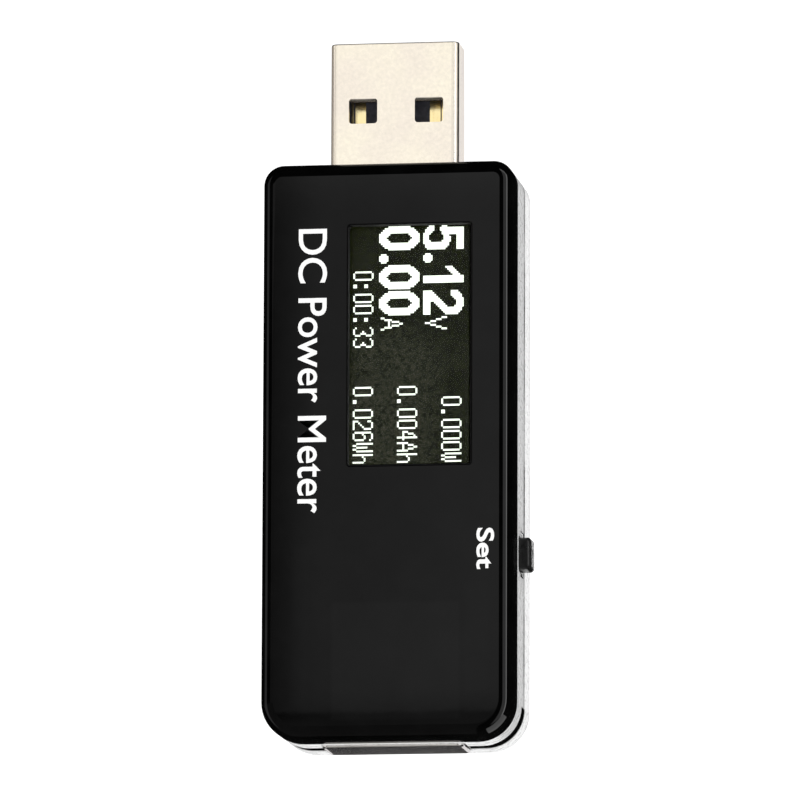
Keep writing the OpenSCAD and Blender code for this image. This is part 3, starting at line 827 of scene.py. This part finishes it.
BIG = {
    "0": ["....#####....", "...#######...", "..#########..", ".###########.", ".#####.#####."]
    + ["#####...#####"]
    + ["####.....####"] * 10
    + ["#####...#####", ".#####.#####.", ".###########.", "..#########..", "...#######...", "....#####...."],
    "1": ["......####", "......####", ".....#####", "....######", "...#######", "..########", ".####.####"]
    + [".###..####", ".##...####", ".#....####"]
    + ["......####"] * 12,
    "2": ["....#####....", "..#########..", ".###########.", "#############", "#####...#####"]
    + ["####.....####"]
    + ["###......####", ".........####", ".........####", "........#####", ".......#####.", "......#####.."]
    + [".....#####...", "....#####....", "...#####.....", "..#####......", ".#####.......", "######......."]
    + ["#############"] * 4,
    "5": [".############"] * 4
    + [".####........"] * 3
    + [".####.###....", ".##########..", "############.", "#############", "#####...#####", ".##......####"]
    + [".........####"] * 3
    + ["###......####", "####.....####", "#####...#####", ".############", "..##########.", "....######..."],
    ".": ["....."] * 17 + [".###.", "#####", "#####", "#####", ".###."],
}
DOTS = (128, 64)
DOT_PITCH = (0.1738, 0.1711)
LIT_MIDDLE = (1.60, 9.83)


def screen_dots():
    """Set of (column, row) for every lit dot, read with the plug at the left."""
    lit = set()

    def write(font, text, column, row, gap):
        for letter in text:
            glyph = font[letter]
            for j, line in enumerate(glyph):
                for i, mark in enumerate(line):
                    if mark == "#":
                        lit.add((column + i, row + j))
            column += len(glyph[0]) + gap

    for row, text, unit in ((1, "5.12", "V"), (25, "0.00", "A")):
        columns = (0, 15, 21, 35)
        for letter, column in zip(text, columns):
            write(BIG, letter, column, row, 0)
        write(UNIT, unit, 49, row + 9, 0)
    write(SMALL, "0.000W", 92, 2, 1)
    write(SMALL, "0.004Ah", 86, 26, 1)
    write(SMALL, "0:00:33", 24, 50, 1)
    write(SMALL, "0.026Wh", 86, 50, 1)
    return lit


def display_dots():
    """Each lit dot is a thin tile just over the panel's face."""
    bm = bmesh.new()
    fill = 0.94
    z = (POLARIZER[1].z + 0.004, POLARIZER[1].z + 0.02)
    for column, row in sorted(screen_dots()):
        x = LIT_MIDDLE[0] + (DOTS[1] / 2 - row - 0.5) * DOT_PITCH[1]
        y = LIT_MIDDLE[1] + (DOTS[0] / 2 - column - 0.5) * DOT_PITCH[0]
        half = (DOT_PITCH[1] * fill / 2, DOT_PITCH[0] * fill / 2)
        add_box(bm, (x - half[0], x + half[0]), (y - half[1], y + half[1]), z)
    obj = object_from(bm, "display_dots")
    return dress(obj, pixel_light(), "housing", "panel_face")


# ---- printed words ----


def legend(name, words, x, y, weight, mat):
    """Raised ink whose letters stand toward +X and read toward -Y, fitted between x and y spans."""
    curve = bpy.data.curves.new(name, "FONT")
    curve.body = words
    curve.offset = weight
    curve.extrude = 0.01
    curve.resolution_u = 5
    text = bpy.data.objects.new(name, curve)
    scene.collection.objects.link(text)
    graph = bpy.context.evaluated_depsgraph_get()
    graph.update()
    mesh = bpy.data.meshes.new_from_object(text.evaluated_get(graph))
    bpy.data.objects.remove(text)
    low = Vector([min(v.co[i] for v in mesh.vertices) for i in range(3)])
    high = Vector([max(v.co[i] for v in mesh.vertices) for i in range(3)])
    ink = 0.015
    for v in mesh.vertices:
        along = (v.co.x - low.x) / (high.x - low.x)
        up = (v.co.y - low.y) / (high.y - low.y)
        over = (v.co.z - low.z) / (high.z - low.z)
        place = (x[0] + up * (x[1] - x[0]), y[0] + along * (y[1] - y[0]), TOP_Z - 0.005 + over * ink)
        v.co = Vector(place) * MM
    obj = bpy.data.objects.new(name, mesh)
    scene.collection.objects.link(obj)
    return dress(obj, mat, "housing", "shell_white")


def legends():
    ink = ink_white()
    legend("legend_main", "DC Power Meter", (-8.25, -5.56), (20.57, -5.86), 0.008, ink)
    legend("legend_button", "Set", (8.35, 9.99), (-7.5, -11.3), 0.022, ink)


# ---- the rest of the CAD nodes ----

FINISH = {
    "main_board": GREEN,
    "oled_adhesive_pad": ADHESIVE,
    "oled_rear_glass": PANEL_GLASS,
    "oled_front_glass": PANEL_GLASS,
    "oled_polarizer": PANEL_PAINTED_GLOW,
    "oled_driver_chip": CHIP,
    "oled_flex": AMBER,
    "display_gasket": FOAM,
    "microcontroller": CHIP,
    "microcontroller_leads": TIN,
    "sense_amplifier": CHIP,
    "sense_amplifier_leads": TIN,
    "voltage_regulator": CHIP,
    "voltage_regulator_leads": TIN,
    "memory_chip": CHIP,
    "crystal": STEEL,
    "shunt_resistor": CHIP,
    "shunt_terminals": TIN,
    "tantalum_capacitor": TANTALUM,
    "protection_diode": CHIP,
    "chip_capacitors": CERAMIC,
    "chip_resistors": CHIP,
    "switch_base": NYLON,
    "switch_cover": STEEL,
    "switch_terminals": TIN,
    "switch_dome": DOME,
    "switch_plunger": ACETAL,
    "solder_joints": SOLDER,
    "plug_insulator": NYLON,
    "receptacle_insulator": NYLON,
    "receptacle_contacts": GOLD,
}


def finish_cad_nodes():
    for name, mat in FINISH.items():
        data = nodes[name].data
        data.materials.clear()
        data.materials.append(mat)


# ---- stage, light and camera ----


def emitter(name, color, strength):
    mat = bpy.data.materials.new(name)
    mat.use_nodes = True
    shader = mat.node_tree.nodes["Principled BSDF"]
    shader.inputs["Base Color"].default_value = (*color, 1)
    shader.inputs["Roughness"].default_value = 1.0
    shader.inputs["Specular IOR Level"].default_value = 0.0
    shader.inputs["Emission Color"].default_value = (1, 1, 1, 1)
    shader.inputs["Emission Strength"].default_value = strength
    return mat


def stage():
    """White floor and a far white dome. Polished surfaces see the world's soft boxes in place of them."""
    bm = bmesh.new()
    bmesh.ops.create_circle(bm, cap_ends=True, segments=96, radius=3.0)
    floor = object_from(bm, "floor")
    floor.data.materials.append(emitter("floor_paper", (0.55, 0.55, 0.55), 0.65))
    bm = bmesh.new()
    bmesh.ops.create_uvsphere(bm, u_segments=48, v_segments=24, radius=3.2)
    dome = object_from(bm, "dome")
    dome.data.materials.append(emitter("dome_cloth", (0, 0, 0), 1.2))
    for obj in (floor, dome):
        obj.visible_glossy = False
        obj.visible_shadow = False


class Sky:
    """World seen only in reflections: a dark studio with soft boxes placed by tilt from straight up.

    Tilts are in degrees.
    """

    def __init__(self, base):
        world = bpy.data.worlds.new("studio")
        scene.world = world
        world.use_nodes = True
        self.tree = world.node_tree
        self.back = self.tree.nodes["Background"]
        world.cycles_visibility.diffuse = False
        coords = self.tree.nodes.new("ShaderNodeTexCoord")
        split = self.tree.nodes.new("ShaderNodeSeparateXYZ")
        self.tree.links.new(coords.outputs["Generated"], split.inputs["Vector"])
        self.tilt = {a: self.math("ARCTAN2", split.outputs[a], split.outputs["Z"]) for a in ("X", "Y")}
        self.total = base

    def math(self, operation, a, b):
        node = self.tree.nodes.new("ShaderNodeMath")
        node.operation = operation
        for i, value in enumerate((a, b)):
            if isinstance(value, bpy.types.NodeSocket):
                self.tree.links.new(value, node.inputs[i])
            else:
                node.inputs[i].default_value = value
        return node.outputs["Value"]

    def edge(self, value, at, soft, rising):
        node = self.tree.nodes.new("ShaderNodeMapRange")
        node.interpolation_type = "SMOOTHSTEP"
        self.tree.links.new(value, node.inputs["Value"])
        ends = (math.radians(at - soft), math.radians(at + soft), 0 if rising else 1, 1 if rising else 0)
        for socket, given in zip(("From Min", "From Max", "To Min", "To Max"), ends):
            node.inputs[socket].default_value = given
        return node.outputs["Result"]

    def window(self, first, second, radiance, soft):
        """Adds light where both angles lie in their ranges: each is (angle, low, high)."""
        mask = 1.0
        for angle, low, high in (first, second):
            mask = self.math("MULTIPLY", mask, self.edge(angle, low, soft, True))
            mask = self.math("MULTIPLY", mask, self.edge(angle, high, soft, False))
        self.total = self.math("ADD", self.total, self.math("MULTIPLY", mask, radiance))

    def soft_box(self, x, y, radiance, soft=1.0):
        """Box overhead, between tilts x toward +X and y toward +Y."""
        self.window((self.tilt["X"], *x), (self.tilt["Y"], *y), radiance, soft)

    def finish(self):
        self.tree.links.new(self.total, self.back.inputs["Strength"])
        self.back.inputs["Color"].default_value = (1, 1, 1, 1)


def card(name, place, toward, size, watts, color, receivers):
    """Area light that only the listed pieces see."""
    light = bpy.data.lights.new(name, "AREA")
    light.shape = "RECTANGLE"
    light.size, light.size_y = size
    light.energy = watts
    light.color = color
    obj = bpy.data.objects.new(name, light)
    scene.collection.objects.link(obj)
    obj.location = Vector(place)
    obj.rotation_euler = (Vector(toward) - obj.location).to_track_quat("-Z", "Y").to_euler()
    obj.visible_camera = False
    group = bpy.data.collections.new(name + "_receivers")
    for piece in receivers:
        group.objects.link(piece)
    obj.light_linking.receiver_collection = group
    return obj


def lights():
    sky = Sky(0.003)
    sky.soft_box((-30, -5.6), (7.1, 13.2), 0.13, 0.02)
    sky.soft_box((-9.12, -5.6), (7.1, 13.2), 0.24, 0.2)
    sky.soft_box((-8.3, -5.6), (7.1, 13.2), 0.08, 0.5)
    sky.soft_box((-30, -5.6), (10.6, 12.9), 0.14, 0.2)
    sky.soft_box((-80, -4), (-86, 7.05), 0.09, 0.05)
    sky.soft_box((24, 51), (-40, 45), 0.75)
    sky.soft_box((52, 61), (-38, 48), 3.4, 0.5)
    sky.soft_box((22, 52), (43, 52), 2.2, 1.0)
    sky.soft_box((-118, -61), (-60, 60), 0.45, 1.5)
    sky.finish()
    cover, cap = bpy.data.objects["cover_shell"], bpy.data.objects["button_cap"]
    metal = [bpy.data.objects[name] for name in ("plug_jacket", "port_jacket", "plug_strips")]
    metal.append(nodes["receptacle_contacts"])
    plug = (0, 0.03, 0.007)
    card("metal_top", (-0.12, 0.14, 0.8), plug, (0.9, 0.9), 2.45, (1, 0.985, 0.94), metal)
    card("metal_left", (-0.78, 0.05, 0.49), plug, (0.8, 0.6), 1.0, (1, 0.95, 0.89), metal)
    card("metal_under", (-0.8, 0.05, -0.25), plug, (0.6, 0.6), 0.45, (1, 0.93, 0.86), metal)
    card("metal_right", (0.873, 0.05, 0.218), plug, (0.5, 0.6), 1.0, (1, 0.98, 0.95), metal)
    card("metal_tip", (0, 0.85, 0.45), plug, (0.8, 0.7), 0.8, (1, 0.98, 0.95), metal)
    card("metal_port", (0, -0.8, 0.4), plug, (0.7, 0.3), 0.3, (1, 0.95, 0.88), metal)
    card("metal_low", (0.03, 0.06, -0.3), plug, (0.3, 0.3), 0.25, (1, 0.97, 0.97), metal)
    for i, (x, y) in enumerate(((0.6, 0.6), (-0.6, 0.6), (-0.6, -0.6), (0.6, -0.6))):
        card("metal_round_%d" % i, (x, y, 0.25), plug, (0.8, 0.4), 0.5, (1, 0.99, 0.97), metal)
    corner = Vector((HALF_W - 3, -HALF_L + 3, 12)) * MM
    card("corner", corner + Vector((0.33, -0.38, 0.03)), corner, (0.42, 0.6), 1.3, (1, 1, 1), [cover])
    key = Vector((KEY[1].x, KEY_MID.y, KEY_MID.z)) * MM
    card("key_low", key + Vector((0.045, 0.047, -0.3)), key, (0.02, 0.16), 0.045, (1, 1, 1), [cap])


def camera():
    """Long lens, looking down on the display from a little toward the port and the button."""
    yaw, pitch, roll = (math.radians(a) for a in (8.43, 9.069, 0.197))
    aim = Vector((1.257, 4.463, 13.01)) * MM
    distance = 0.8
    back = Vector((math.sin(yaw) * math.cos(pitch), -math.sin(pitch), math.cos(yaw) * math.cos(pitch)))
    right = Vector((math.cos(yaw), 0, -math.sin(yaw)))
    up = back.cross(right)
    level, plumb = right, up
    right = math.cos(roll) * level + math.sin(roll) * plumb
    up = math.cos(roll) * plumb - math.sin(roll) * level
    data = bpy.data.cameras.new("camera")
    data.lens = 392.74
    data.sensor_width = 36
    data.clip_start, data.clip_end = 0.01, 20
    obj = bpy.data.objects.new("camera", data)
    scene.collection.objects.link(obj)
    turn = Matrix((right, up, back)).transposed().to_4x4()
    obj.matrix_world = Matrix.Translation(aim + distance * back) @ turn
    scene.camera = obj
    scene.view_settings.view_transform = "Standard"


camera()
finish_cad_nodes()
front_cover()
display_window()
upper_housing()
lower_housing()
key_button()
connectors()
display_dots()
legends()
stage()
lights()
